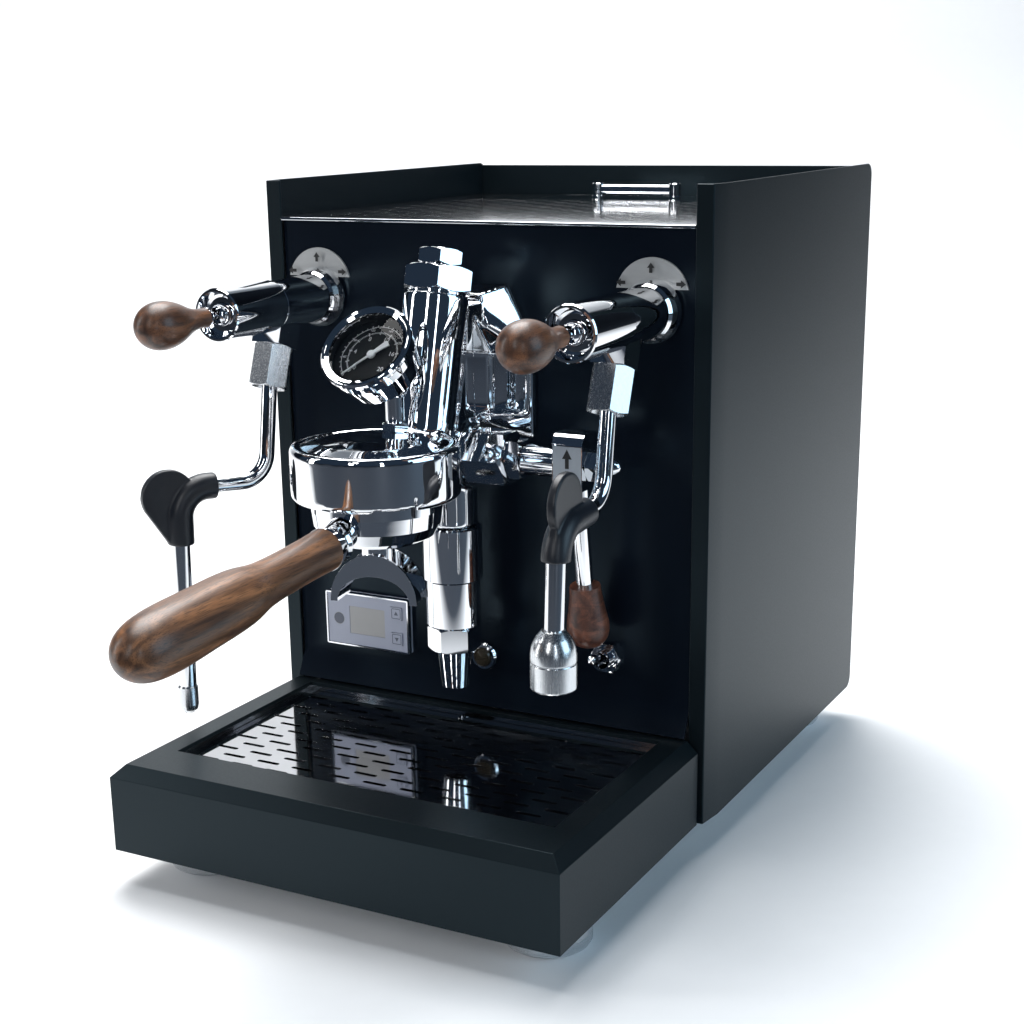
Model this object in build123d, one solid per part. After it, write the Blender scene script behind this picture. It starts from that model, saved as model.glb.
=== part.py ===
from build123d import *
import os
from math import cos, radians, sin

# Espresso machine with a thermosyphon lever group, in millimetres.
# It is laid out from the centre of the case's front edge at the foot of the side panels:
# +X to the user's right, +Y towards the back, +Z up. The user stands at -Y.
# Every piece is then moved by ORIGIN_SHIFT, so the origin ends at the bottom centre of the whole.

# ---- driving dimensions ----
CASE_W = 293.6
CASE_D = 278.0
CASE_H = 365.0
SHEET = 1.5
FLANGE_W = 12.4
BEVEL_X = 2.3
BEVEL_Y = 18.0
CASE_CORNER_R = 8.0
PANEL_Y = 2.0
PANEL_BEND_Z = 69.0
PANEL_LIP_Y = -6.0
PANEL_LIP_Z = 53.5
BACK_Y = 272.6
DECK_Z = 343.4
DECK_T = 1.8
FOOT_R = 24.0
FOOT_H = 20.0
FOOT_X = 111.0
FOOT_FRONT_Y = -135.0
FOOT_BACK_Y = 240.0

TRAY_FRONT_Y = -182.6
TRAY_BACK_Y = -3.0
TRAY_HALF_W = 142.0
TRAY_TOP_Z = 52.0
TRAY_LOW_Z = 2.2
TRAY_CHAMFER = 7.0
TRAY_WALL = 2.5
WELL_HALF_W = 121.5
WELL_FRONT_Y = -146.5
WELL_BACK_Y = -10.5
GRID_TOP_Z = 46.6
SLOT_L = 15.0
SLOT_W = 3.0
SLOT_PITCH_X = 24.0
SLOT_PITCH_Y = 9.5

TANK_X = (-71.0, 62.0)
TANK_Y = (211.0, 259.0)
TANK_Z = (32.0, 338.0)
LID_POSTS_X = (-33.0, 24.0)
LID_POSTS_Y = 235.0
LID_POST_H = 10.0

BELL_Y = -114.0
BELL_R = 45.5
BELL_Z = (207.0, 236.0)
BODY_R = 18.3
BODY_FOOT = (0.0, -63.0, 237.0)
BODY_TOP = (0.0, -45.4, 306.4)
CAP_FLATS = 36.5
CAP_H = 13.5
TOP_CAP_FLATS = 23.6
LEVER_Y = -38.0
LEVER_Z = 217.0
LEVER_X = 81.3
LEVER_HEAD_W = 18.0
LEVER_LEAN = 9.0
LEVER_SHAFT_R = 6.0
GLAND_X = 16.0
COLUMN_Y = -35.0
CHAMBER_TOP_Z = 174.0
GAUGE_FACE = (0.0, -120.0, 288.0)
GAUGE_TILT = 42.5
GAUGE_R = 25.8
GAUGE_DEPTH = 26.0

PORTA_R = 35.2
SPOUT_TURN = 12.0
HANDLE_TILT = 4.7
HANDLE_L = 161.5

VALVE_X = 109.0
VALVE_Z = 297.0
VALVE_BALL_Y = -97.0
WAND_BALL = (109.0, -55.0, 257.0)
BOSS_TILT = 20.0
WAND_BALL_R = 7.0
STEAM_TURN = -32.0
WATER_TURN = 0.0
STEAM_ROUTE = ((0.0, 257.0), (6.0, 195.0), (60.0, 196.5), (62.6, 69.3))
WATER_ROUTE = ((0.0, 257.0), (8.0, 204.0), (62.3, 200.5), (67.0, 134.3))
WAND_TUBE_R = 4.6
WAND_SLEEVE_R = 5.2
WAND_BEND_R = 17.0
STEAM_GRIP = (38.0, 33.0)
WATER_GRIP = (28.0, 16.4)
GRIP_R = 7.8
STEAM_FIN = (66.7, 192.4, 16.0)
WATER_FIN = (53.0, 212.0, 16.4)
GRIP_FIN_T = 5.2

DISPLAY = (-82.0, 95.0)
DISPLAY_W = 61.0
DISPLAY_H = 35.0
BUTTON_X = 22.0
BUTTON_RISE = 8.3
LAMP = (0.0, 83.0)
SWITCH = (82.0, 94.0)
SWITCH_THROW = 22.0

ON_BASE = (Align.CENTER, Align.CENTER, Align.MIN)
OUTWARD = (0, -1, 0)


# ---- shapes used by many pieces ----
def block(x, y, z):
    """A box between the given ranges of x, y and z."""
    size = (x[1] - x[0], y[1] - y[0], z[1] - z[0])
    return Pos(x[0], y[0], z[0]) * Box(*size, align=(Align.MIN,) * 3)


def facing(point, direction):
    """A plane at point whose normal runs along direction."""
    return Plane(origin=point, z_dir=direction)


def rod(start, end, radius):
    """A round bar from start to end."""
    run = Vector(*end) - Vector(*start)
    return facing(start, run) * Cylinder(radius, run.length, align=ON_BASE)


def turned(profile, point=(0, 0, 0), direction=(0, 0, 1)):
    """A turned piece: profile holds (radius, height) corners, spun about direction at point."""
    face = make_face(Plane.XZ * Polyline(*profile, close=True))
    return facing(point, direction) * revolve(face, Axis.Z)


def turned_smooth(curve, point, direction):
    """A turned piece whose outline is one smooth curve that starts and ends near its axis."""
    edge = Spline(*curve)
    closing = Polyline(curve[-1], (0, curve[-1][1]), (0, curve[0][1]), curve[0])
    face = make_face(Plane.XZ * (edge + closing))
    return facing(point, direction) * revolve(face, Axis.Z)


def hex_nut(flats, height, point, direction, bore=0.0, turn=0.0):
    """A hexagon with turned-off corners, rising from point along direction."""
    sideways = (0, 1, 0) if abs(direction[0]) > 0.9 else (1, 0, 0)
    prism = extrude(RegularPolygon(flats / 2, 6, major_radius=False, rotation=turn), height)
    crown = flats * 0.5 * 1.155
    edge = crown - flats / 2
    ends = turned([(0, 0), (crown - edge, 0), (crown, edge * 0.6), (crown, height - edge * 0.6),
                   (crown - edge, height), (0, height)])
    nut = prism & ends
    if bore:
        nut -= Cylinder(bore, height * 3)
    return Plane(origin=point, z_dir=direction, x_dir=sideways) * nut


def slot_field(x_span, y_span, thickness, z):
    """Staggered rounded slots that fill a rectangle, as one cutting solid."""
    rows = int((y_span[1] - y_span[0] - SLOT_W) // SLOT_PITCH_Y) + 1
    y_start = (y_span[0] + y_span[1] - (rows - 1) * SLOT_PITCH_Y) / 2
    spots = []
    for row in range(rows):
        columns = int((x_span[1] - x_span[0] - SLOT_L) // SLOT_PITCH_X) + 1 - row % 2
        x_start = (x_span[0] + x_span[1] - (columns - 1) * SLOT_PITCH_X) / 2
        for column in range(columns):
            spots.append((x_start + column * SLOT_PITCH_X, y_start + row * SLOT_PITCH_Y))
    slots = Sketch() + [Pos(x, y) * SlotOverall(SLOT_L, SLOT_W) for x, y in spots]
    return Pos(0, 0, z) * extrude(slots, thickness)


def group(solids):
    """Like pieces kept as separate solids of one node."""
    return Compound(children=list(solids))


def both_sides(make):
    """The same piece at the left and at the right valve."""
    return group([make(-1), make(1)])


# ---- case ----
def side_panel(side):
    half = CASE_W / 2
    outer = [(half - FLANGE_W, 0), (half - BEVEL_X, 0), (half, BEVEL_Y), (half, CASE_D)]
    inner = [(half - SHEET, CASE_D), (half - SHEET, BEVEL_Y), (half - BEVEL_X - SHEET, SHEET),
             (half - FLANGE_W, SHEET)]
    sheet = extrude(make_face(Polyline(*outer, *inner, close=True)), CASE_H)
    outline = Plane.YZ * Pos(CASE_D / 2, CASE_H / 2) * Rectangle(CASE_D, CASE_H)
    outline = fillet(outline.vertices().group_by(Axis.Y)[-1], CASE_CORNER_R)
    panel = sheet & extrude(outline, CASE_W)
    return panel if side > 0 else mirror(panel, Plane.YZ)


def inside_case(gap, z):
    """A plate as wide as the room between the side panels, bevelled like them at the front."""
    front, side = CASE_W / 2 - BEVEL_X - SHEET - gap, CASE_W / 2 - SHEET - gap
    y0, y1, y2 = SHEET + 0.2, BEVEL_Y + 0.2, BACK_Y - 0.2
    plan = [(-front, y0), (front, y0), (side, y1), (side, y2), (-side, y2), (-side, y1)]
    return Pos(0, 0, z[0]) * extrude(make_face(Polyline(*plan, close=True)), z[1] - z[0])


def valve_hole(x):
    return rod((x, -20, VALVE_Z), (x, 20, VALVE_Z), 8.0)


def front_panel():
    """A folded sheet whose foot bends forward over the drip tray."""
    fold = [(PANEL_Y, DECK_Z - DECK_T - 0.2), (PANEL_Y, PANEL_BEND_Z), (PANEL_LIP_Y, PANEL_LIP_Z),
            (PANEL_LIP_Y + 1.4, PANEL_LIP_Z - 0.6), (PANEL_Y + SHEET, PANEL_BEND_Z - 0.3),
            (PANEL_Y + SHEET, DECK_Z - DECK_T - 0.2)]
    half = CASE_W / 2 - FLANGE_W - 0.4
    panel = Pos(-half, 0, 0) * extrude(Plane.YZ * make_face(Polyline(*fold, close=True)), 2 * half)
    panel -= valve_hole(-VALVE_X) + valve_hole(VALVE_X)
    panel -= block((-26, 26), (0, 10), (236, 296))
    x, z = DISPLAY
    panel -= block((x - 26, x + 26), (0, 10), (z - 14, z + 14))
    panel -= rod((LAMP[0], 0, LAMP[1]), (LAMP[0], 10, LAMP[1]), 6.4)
    panel -= rod((SWITCH[0], 0, SWITCH[1]), (SWITCH[0], 10, SWITCH[1]), 6.2)
    return panel


def back_panel():
    half = CASE_W / 2 - SHEET - 0.1
    panel = block((-half, half), (BACK_Y, BACK_Y + SHEET), (SHEET + 0.2, CASE_H - 1.6))
    panel -= block((84, 112), (BACK_Y - 5, BACK_Y + 5), (30, 51))
    vents = [Pos(x, BACK_Y, z) * Box(4, 10, 34) for x in range(-100, 101, 10) for z in (285, 235)]
    for vent in vents:
        panel -= vent
    return panel


def base_frame():
    """Floor plate that carries everything, with four corner posts."""
    plate = block((-130, 130), (-172, 1.7), (0, SHEET)) + inside_case(0.3, (0, SHEET))
    for x in (-FOOT_X, FOOT_X):
        for y in (FOOT_FRONT_Y, FOOT_BACK_Y):
            plate -= Pos(x, y, 0) * Cylinder(4.2, 20)
    top = DECK_Z - DECK_T - 0.2
    for side in (-1, 1):
        outer, inner = side * 140.6, side * 126.0
        x_leg = (min(outer, inner), max(outer, inner))
        x_web = (min(outer, outer - side * SHEET), max(outer, outer - side * SHEET))
        for y in (5.0, BACK_Y - 17.0):
            wall = y if y < 50 else y + 15.0
            plate += block(x_leg, (wall, wall + SHEET), (0, top))
            plate += block(x_web, (y, y + 15.0), (0, top))
    return plate


def feet():
    profile = [(0, -FOOT_H), (FOOT_R - 4, -FOOT_H), (FOOT_R - 1, -FOOT_H + 2), (FOOT_R, -FOOT_H + 4),
               (FOOT_R, -3), (FOOT_R - 2, 0), (4, 0), (4, SHEET - 0.1), (0, SHEET - 0.1)]
    return group([turned(profile, (x, y, 0)) for x in (-FOOT_X, FOOT_X)
                  for y in (FOOT_FRONT_Y, FOOT_BACK_Y)])


def cup_tray():
    low, high = DECK_Z - DECK_T, DECK_Z
    deck = inside_case(0.2, (low, high))
    lip_half = CASE_W / 2 - FLANGE_W - 0.3
    lip = block((-lip_half, lip_half), (-0.6, SHEET + 0.2), (low - 0.1, high + 0.2))
    deck += fillet(lip.edges().filter_by(Axis.X).group_by(Axis.Y)[0], 0.9)
    deck -= block((TANK_X[0] - 1, TANK_X[1] + 1), (TANK_Y[0] - 1, TANK_Y[1] + 1), (low - 1, high + 1))
    return deck - slot_field((-120, 120), (20, 201), DECK_T * 3, low - DECK_T)


# ---- water supply ----
def water_tank():
    shell = block(TANK_X, TANK_Y, TANK_Z)
    shell = fillet(shell.edges().filter_by(Axis.Z), 8)
    wall = 2.5
    room = block((TANK_X[0] + wall, TANK_X[1] - wall), (TANK_Y[0] + wall, TANK_Y[1] - wall),
                 (TANK_Z[0] + wall, TANK_Z[1] + 5))
    room = fillet(room.edges().filter_by(Axis.Z), 5.5)
    middle = (sum(TANK_X) / 2, sum(TANK_Y) / 2, TANK_Z[0])
    nipple = rod((middle[0], middle[1], TANK_Z[0] - 12), middle, 6.0)
    bore = rod((middle[0], middle[1], TANK_Z[0] - 13), (middle[0], middle[1], TANK_Z[0] + 5), 4.0)
    return shell + nipple - room - bore


def tank_cradle():
    x, y = sum(TANK_X) / 2, sum(TANK_Y) / 2
    top = TANK_Z[0] - 0.1
    cradle = block((TANK_X[0], TANK_X[1]), (TANK_Y[0], TANK_Y[1]), (SHEET, top))
    return cradle - rod((x, y, top - 14), (x, y, top + 1), 6.06)


def reservoir_lid():
    low = DECK_Z - DECK_T
    lid = block((TANK_X[0] - 0.4, TANK_X[1] + 0.4), (TANK_Y[0] - 0.4, TANK_Y[1] + 0.4), (low, DECK_Z))
    plug = block((TANK_X[0] + 1, TANK_X[1] - 1), (TANK_Y[0] + 1, TANK_Y[1] - 1), (TANK_Z[1] + 0.02, low))
    for x in LID_POSTS_X:
        plug -= rod((x, LID_POSTS_Y, low - 4), (x, LID_POSTS_Y, low), 3.6)
        lid -= rod((x, LID_POSTS_Y, low - 4), (x, LID_POSTS_Y, DECK_Z + 1), 2.1)
    return lid + plug


def reservoir_handle():
    posts = Part()
    y, top, middle = LID_POSTS_Y, LID_POST_H, DECK_Z + LID_POST_H * 0.57
    for x in LID_POSTS_X:
        posts += turned([(0, 0), (4.6, 0), (4.6, 1), (4.2, 1.6), (4.2, top - 0.8), (3.4, top), (0, top)],
                        (x, y, DECK_Z))
        posts += rod((x, y, DECK_Z - DECK_T - 2), (x, y, DECK_Z), 2.0)
    return posts + rod((LID_POSTS_X[0], y, middle), (LID_POSTS_X[1], y, middle), 3.1)


# ---- drip tray ----
def drip_tray():
    """The black drawer box: front, sides and top frame, open below and over the well."""
    x, y, top = TRAY_HALF_W, TRAY_FRONT_Y, TRAY_TOP_Z
    outer = block((-x, x), (y, TRAY_BACK_Y), (0.5, top))
    inner = block((-x + TRAY_WALL, x - TRAY_WALL), (y + TRAY_WALL, TRAY_BACK_Y - TRAY_WALL),
                  (-2, top - TRAY_WALL))

    def front_and_side_top(box):
        ridge = box.edges().group_by(Axis.Z)[-1]
        return ridge.filter_by(Axis.Y) + ridge.filter_by(Axis.X).group_by(Axis.Y)[0]

    outer = chamfer(front_and_side_top(outer), TRAY_CHAMFER)
    inner = chamfer(front_and_side_top(inner), TRAY_CHAMFER - 1)
    box = outer - inner
    box -= block((-x + 3, x - 3), (TRAY_BACK_Y - 6, TRAY_BACK_Y + 2), (-2, TRAY_LOW_Z + 0.5))
    return box - block((-WELL_HALF_W, WELL_HALF_W), (WELL_FRONT_Y, WELL_BACK_Y), (0, 80))


def drip_pan():
    """Deep steel pan under the frame's opening, with a step that carries the grid."""
    rim_top = TRAY_TOP_Z - TRAY_WALL
    rim = block((-128, 128), (WELL_FRONT_Y - 6, WELL_BACK_Y + 4), (rim_top - 1.2, rim_top))
    outer = block((-WELL_HALF_W - 1, WELL_HALF_W + 1), (WELL_FRONT_Y - 1, WELL_BACK_Y + 1), (8, rim_top))
    well = block((-WELL_HALF_W, WELL_HALF_W), (WELL_FRONT_Y, WELL_BACK_Y),
                 (GRID_TOP_Z - SHEET - 0.1, 80))
    deep = block((-WELL_HALF_W + 3, WELL_HALF_W - 3), (WELL_FRONT_Y + 3, WELL_BACK_Y - 3), (9.2, 80))
    return rim + outer - well - deep


def drip_grid():
    low = GRID_TOP_Z - SHEET
    plate = block((-WELL_HALF_W + 0.6, WELL_HALF_W - 0.6), (WELL_FRONT_Y + 0.6, WELL_BACK_Y - 0.6),
                  (low, GRID_TOP_Z))
    plate -= slot_field((-116, 116), (WELL_FRONT_Y + 7, WELL_BACK_Y - 9), SHEET * 3, low - SHEET)
    return plate - Pos(0, WELL_BACK_Y - 0.6, low) * Cylinder(11, 10)


# ---- brew group ----
def body_axis():
    return Vector(*BODY_TOP) - Vector(*BODY_FOOT)


def group_neck():
    """House-shaped wall flange that tapers to the neck of the casting."""
    wall = [(-38, 222), (38, 222), (38, 275), (22, 309), (-22, 309), (-38, 275)]
    neck = [(-18, 232), (18, 232), (18, 288), (14, 305), (-14, 305), (-18, 288)]

    def outline(points, y):
        return Plane(origin=(0, y, 0), x_dir=(1, 0, 0), z_dir=OUTWARD) * make_face(
            Polyline(*points, close=True))

    flange = extrude(outline(wall, PANEL_Y), 6.0)
    taper = loft([outline(wall, PANEL_Y - 6), outline(neck, PANEL_Y - 23)])
    web = block((-15, 15), (-52, PANEL_Y - 22), (232, 300))
    casting = flange + taper + web
    pocket = make_face(Polyline((-31, 293), (-27, 293), (-6.5, 270), (-6.5, 237), (-30, 237), close=True))
    for side in (-1, 1):
        cut = extrude(Plane.YZ * pocket, 40)
        casting -= Pos(12, 0, 0) * cut if side > 0 else Pos(-52, 0, 0) * cut
    return casting


def group_casting():
    """The chromed group: bell, tilted valve chamber, lever housing, column and neck."""
    axis = body_axis()
    casting = rod(tuple(Vector(*BODY_FOOT) - axis * 0.3), BODY_TOP, BODY_R)
    casting += group_neck()
    casting += rod((-19, LEVER_Y, LEVER_Z), (GLAND_X, LEVER_Y, LEVER_Z), 19.0)
    casting += rod((0, COLUMN_Y, CHAMBER_TOP_Z), (0, COLUMN_Y, LEVER_Z), 15.0)
    casting += block((-14, 14), (BELL_Y + 30, LEVER_Y), (212, 234))
    z0, z1 = BELL_Z
    bell = turned([(0, z0), (BELL_R - 2, z0), (BELL_R, z0 + 2.5), (BELL_R, z1 - 2), (BELL_R - 1.5, z1),
                   (BELL_R - 4, z1), (BELL_R - 5.5, z1 - 1.2), (30, z1 + 1.5), (14, z1 + 3),
                   (0, z1 + 3.4)], (0, BELL_Y, 0))
    casting += bell
    casting -= turned([(0, 200), (37.5, 200), (37.5, 211), (41.5, 212), (41.5, 220), (37.5, 221),
                       (37.5, 229), (0, 229)], (0, BELL_Y, 0))
    for angle in (-45, 135):
        entry = Pos(39, 0, 208) * Box(10, 22, 12)
        casting -= Pos(0, BELL_Y, 0) * Rot(0, 0, angle) * entry
    casting -= rod((-12, LEVER_Y, LEVER_Z), (GLAND_X + 1, LEVER_Y, LEVER_Z), 8.0)
    bore = Vector(*BODY_TOP) - axis * 0.9
    casting -= rod(tuple(bore), tuple(Vector(*BODY_TOP) + axis * 0.01), 9.0)
    return casting


def group_gasket():
    ring = Pos(0, BELL_Y, 222.8) * Cylinder(36.4, 6, align=ON_BASE)
    return ring - Pos(0, BELL_Y, 220) * Cylinder(28.6, 20, align=ON_BASE)


def shower_screen():
    screen = Pos(0, BELL_Y, 225.4) * Cylinder(28.2, 1.6, align=ON_BASE)
    screen += Pos(0, BELL_Y, 227) * Cylinder(24, 1.9, align=ON_BASE)
    for ring, count in ((8, 8), (15, 14), (22, 20)):
        for hole in PolarLocations(ring, count):
            screen -= Pos(0, BELL_Y, 224) * hole * Cylinder(1.0, 12)
    return screen


def cap_start():
    return Vector(*BODY_TOP) + body_axis().normalized() * 0.02


def valve_chamber_cap():
    """Large hexagon cap on top of the tilted chamber."""
    seat = cap_start()
    axis = body_axis().normalized()
    collar = rod(tuple(seat), tuple(seat + axis * 1.5), 16.5)
    return collar + hex_nut(CAP_FLATS, CAP_H, tuple(seat + axis * 1.5), tuple(axis))


def top_plug():
    axis = body_axis().normalized()
    seat = cap_start() + axis * (CAP_H + 1.52)
    neck = rod(tuple(seat), tuple(seat + axis * 1.2), 10.5)
    return neck + hex_nut(TOP_CAP_FLATS, 8.5, tuple(seat + axis * 1.2), tuple(axis))


def lever_gland():
    """Hexagon nut and collar that hold the lever's shaft in the casting."""
    start = GLAND_X + 0.02
    nut = hex_nut(28.6, 26.0, (start, LEVER_Y, LEVER_Z), (1, 0, 0))
    collar = hex_nut(21.0, 8.4, (start + 26.0, LEVER_Y, LEVER_Z), (1, 0, 0))
    bore = rod((10, LEVER_Y, LEVER_Z), (60, LEVER_Y, LEVER_Z), LEVER_SHAFT_R + 0.05)
    return nut + collar - bore


def lever_point(drop):
    """A point on the hanging lever, so far below its shaft, leaning back."""
    lean = radians(LEVER_LEAN)
    return (LEVER_X, LEVER_Y + drop * sin(lean), LEVER_Z - drop * cos(lean))


def brew_lever():
    """Shaft with its cam, the flat-faced head, the cap nut and the hanging rod."""
    left, right = LEVER_X - LEVER_HEAD_W / 2, LEVER_X + LEVER_HEAD_W / 2
    shaft = rod((-6, LEVER_Y, LEVER_Z), (58, LEVER_Y, LEVER_Z), LEVER_SHAFT_R)
    shaft += rod((-8, LEVER_Y - 1.6, LEVER_Z), (-2, LEVER_Y - 1.6, LEVER_Z), 5.6)
    shaft += rod((GLAND_X + 34.8, LEVER_Y, LEVER_Z), (left + 1, LEVER_Y, LEVER_Z), 8.6)
    head = block((left, right), (LEVER_Y - 11, LEVER_Y + 11), (LEVER_Z - 13, LEVER_Z + 18.4))
    head = fillet(head.edges().filter_by(Axis.X).group_by(Axis.Z)[-1], 7.0)
    nut = hex_nut(16.0, 7.0, (right, LEVER_Y, LEVER_Z), (1, 0, 0))
    dome = turned([(0, 0), (7, 0), (6.4, 4), (4.6, 8), (2.2, 10.6), (0, 11.4)],
                  (right + 7, LEVER_Y, LEVER_Z), (1, 0, 0))
    stem = rod(lever_point(6), lever_point(76), 4.8)
    collar = rod(lever_point(10), lever_point(19), 7.0)
    return shaft + head + nut + dome + stem + collar


def lever_knob():
    curve = [(8.7, 0), (8.9, 1.6), (9.8, 10), (11.7, 21), (12.2, 27), (10.0, 33.8), (5.4, 37.4),
             (0.4, 38.3)]
    top = lever_point(73)
    down = Vector(*lever_point(100)) - Vector(*top)
    knob = turned_smooth(curve, top, tuple(down))
    return knob - rod(lever_point(68), lever_point(76), 4.8)


def infusion_chamber():
    """The upper chamber and the slightly thinner cylinder screwed into it."""
    low, seam, top = 113.6, 142.0, CHAMBER_TOP_Z - 0.02
    chamber = turned([(0, seam), (15, seam), (15, seam + 0.7), (17.5, seam + 0.7), (17.5, top - 1),
                      (16.5, top), (0, top)], (0, COLUMN_Y, 0))
    cylinder = turned([(0, low), (14.6, low), (15.8, low + 1.2), (15.8, seam - 0.6), (15.3, seam - 0.02),
                       (0, seam - 0.02)], (0, COLUMN_Y, 0))
    return group([chamber, cylinder])


def discharge_nozzle():
    nut = hex_nut(27.0, 14.5, (0, COLUMN_Y, 99.0), (0, 0, 1), turn=30)
    spout = turned([(0, 76), (8, 76), (10.4, 99.2), (0, 99.2)], (0, COLUMN_Y, 0))
    return nut + spout - rod((0, COLUMN_Y, 70), (0, COLUMN_Y, 100), 5.0)


# ---- pressure gauge ----
def gauge_normal():
    return Vector(0, -cos(radians(GAUGE_TILT)), sin(radians(GAUGE_TILT)))


def gauge_place(depth):
    return tuple(Vector(*GAUGE_FACE) - gauge_normal() * depth)


def on_gauge(profile):
    """A turned piece about the gauge's axis: heights are measured from its front, inwards negative."""
    return turned(profile, GAUGE_FACE, tuple(gauge_normal()))


def gauge_case():
    depth = GAUGE_DEPTH
    shell = on_gauge([(0, -depth), (17, -depth), (21, -depth + 3.5), (GAUGE_R - 1.6, -9), (GAUGE_R - 1.6, -3.2),
                      (0, -3.2)])
    return shell - on_gauge([(0, -10), (22.2, -10), (22.2, 0), (0, 0)])


def gauge_bezel():
    return on_gauge([(21.4, -3.1), (GAUGE_R - 0.5, -3.1), (GAUGE_R, -2.2), (GAUGE_R, -0.6),
                     (GAUGE_R - 1, 0.4), (GAUGE_R - 2, -0.2), (GAUGE_R - 2.6, 0.3), (21.4, -0.6)])


def gauge_dial():
    return on_gauge([(1.2, -9.9), (22.0, -9.9), (22.0, -9.1), (1.2, -9.1)])


def gauge_glass():
    return on_gauge([(0, -2.2), (21.3, -2.9), (21.3, -1.6), (12, -0.4), (0, 0.1)])


def gauge_needle():
    """Pointer at the start of the scale, down and to the left, with a broad tail."""
    hub = turned([(0, -9.6), (1.14, -9.6), (1.14, -8.6), (2.3, -8.6), (2.3, -7.4), (1.6, -6.8),
                  (0, -6.8)])
    blade = make_face(Polyline((0, -0.5), (18.5, -0.25), (18.5, 0.25), (0, 0.5), close=True))
    tail = make_face(Polyline((0, -0.9), (-10.5, -1.7), (-10.5, 1.7), (0, 0.9), close=True))
    arm = Pos(0, 0, -8.2) * extrude(blade + tail, 0.7)
    place = Plane(origin=GAUGE_FACE, x_dir=(1, 0, 0), z_dir=tuple(gauge_normal()))
    return place * (Rot(0, 0, 225) * (hub + arm))


def gauge_stem():
    """Hexagon fitting, elbow and stem between the gauge and the group."""
    back = gauge_place(GAUGE_DEPTH + 0.02)
    elbow = gauge_place(GAUGE_DEPTH + 11)
    foot = (0, elbow[1], BELL_Z[1] + 2.9)
    stem = rod(elbow, back, 5.4)
    stem += hex_nut(15.0, 6.0, gauge_place(GAUGE_DEPTH + 6.02), tuple(gauge_normal()))
    stem += Pos(*elbow) * Sphere(7.6)
    stem += rod(foot, elbow, 5.2)
    stem += hex_nut(14.0, 5.0, foot, (0, 0, 1))
    bell_top = turned([(0, 0), (BELL_R, 0), (BELL_R, BELL_Z[1] - 3), (BELL_R - 5.5, BELL_Z[1] - 1.2),
                       (30, BELL_Z[1] + 1.5), (14, BELL_Z[1] + 3), (0, BELL_Z[1] + 3.4)], (0, BELL_Y, 0))
    body = rod(BODY_FOOT, BODY_TOP, BODY_R)
    return stem - bell_top - body


# ---- portafilter ----
def portafilter_body():
    shell = turned([(0, 184), (25, 184), (31, 187), (34.2, 193), (PORTA_R, 201), (PORTA_R, 221),
                    (0, 221)], (0, BELL_Y, 0))
    room = turned([(0, 187), (24, 187), (29, 190), (31, 196), (31, 230), (0, 230)], (0, BELL_Y, 0))
    shell += rod((0, BELL_Y, 179), (0, BELL_Y, 186), 9.0)
    for angle in (0, 180):
        ear = Pos(PORTA_R + 1, 0, 215.4) * Box(8, 18, 5)
        ring = Cylinder(PORTA_R + 5, 20, align=ON_BASE)
        shell += (Pos(0, BELL_Y, 208) * ring) & (Pos(0, BELL_Y, 0) * Rot(0, 0, angle) * ear)
    neck_end = handle_point(0.0)
    start = (0, BELL_Y - 33, 195)
    shell += rod(start, handle_point(-5.0), 8.6)
    down = handle_axis()
    shell += turned([(0, -13), (9.2, -13), (10.2, -11), (9.2, -9), (11.6, -0.02), (0, -0.02)],
                    neck_end, tuple(down))
    shell -= room
    return shell - rod((0, BELL_Y, 170), (0, BELL_Y, 190), 5.0)


def handle_axis():
    return Vector(0, -cos(radians(HANDLE_TILT)), -sin(radians(HANDLE_TILT)))


def handle_point(along):
    return tuple(Vector(0, -165.5, 189.4) + handle_axis() * along)


def portafilter_handle():
    curve = [(11.4, 0), (11.0, 10), (10.9, 32), (11.3, 50), (12.2, 60), (14.0, 70), (15.0, 80), (15.6, 100),
             (16.2, 122), (15.8, 138), (11.6, 154), (0.4, HANDLE_L)]
    return turned_smooth(curve, handle_point(0.0), tuple(handle_axis()))


def filter_basket():
    wall = turned([(0, 197), (27, 197), (30.4, 200), (30.4, 221.05), (34, 221.05), (34, 222.2),
                   (29.8, 222.2), (29.8, 200.4), (26.6, 197.7), (0, 197.7)], (0, BELL_Y, 0))
    for ring, count in ((8, 8), (15, 14), (22, 20)):
        for hole in PolarLocations(ring, count):
            wall -= Pos(0, BELL_Y, 197) * hole * Cylinder(0.8, 6)
    return wall


def double_spout():
    """Open channel that arches to two tips, under a round boss."""
    deep = 19.0
    place = Plane(origin=(0, BELL_Y + 8, 150.4), x_dir=(1, 0, 0), z_dir=OUTWARD)
    upper = Pos(0, 25) * Rectangle(80, 50)
    crest = Ellipse(24.6, 26.6) & upper
    soffit = Ellipse(20.6, 14.6) & upper
    floor = Ellipse(22.8, 16.9) & upper
    arch = place * (extrude(crest, deep) - extrude(soffit, deep))
    channel = extrude(crest, deep - 3.0) - extrude(floor, deep - 3.0)
    arch -= place * (Pos(0, 0, 1.5) * channel)
    boss = rod((0, BELL_Y, 164.5), (0, BELL_Y, 178.95), 9.0)
    outlets = rod((-12, BELL_Y, 170), (12, BELL_Y, 170), 2.5)
    spout = arch + boss - rod((0, BELL_Y, 167), (0, BELL_Y, 190), 5.0) - outlets
    return spout.rotate(Axis((0, BELL_Y, 0), (0, 0, 1)), SPOUT_TURN)


# ---- steam and hot water valves ----
def along_valve(profile, side, y):
    """A turned piece on a valve's axis: heights run forwards from y."""
    return turned(profile, (side * VALVE_X, y, VALVE_Z), OUTWARD)


def dial_plate(side):
    disc = rod((side * VALVE_X, PANEL_Y, 304), (side * VALVE_X, PANEL_Y - 1.2, 304), 22.0)
    return disc & block((-200, 200), (-5, 5), (309, 330))


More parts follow.
